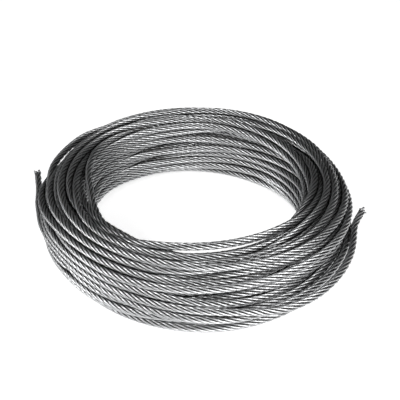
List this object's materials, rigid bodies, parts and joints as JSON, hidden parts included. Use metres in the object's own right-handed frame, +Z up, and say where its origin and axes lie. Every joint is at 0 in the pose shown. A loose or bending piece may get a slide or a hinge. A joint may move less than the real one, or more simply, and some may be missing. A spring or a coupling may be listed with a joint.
{
  "type": "coil of wire rope",
  "caption": "Flat round coil of bright steel wire rope with an open bore and free ends sprung off its outer wall.",
  "frame": {"origin": "on the floor, in the middle of the coil's bore", "axes": "+Z up along the coil's axis, -Y towards the picture's front, +X to the picture's right"},
  "size_m": [0.1867, 0.173, 0.04],
  "materials": {
    "bright_steel_wire": "bright drawn wire, stranded, satin"
  },
  "bodies": {
    "root": {"rope_coil": "bright_steel_wire", "left_free_end": "bright_steel_wire", "right_free_end": "bright_steel_wire"}
  },
  "joints": []
}
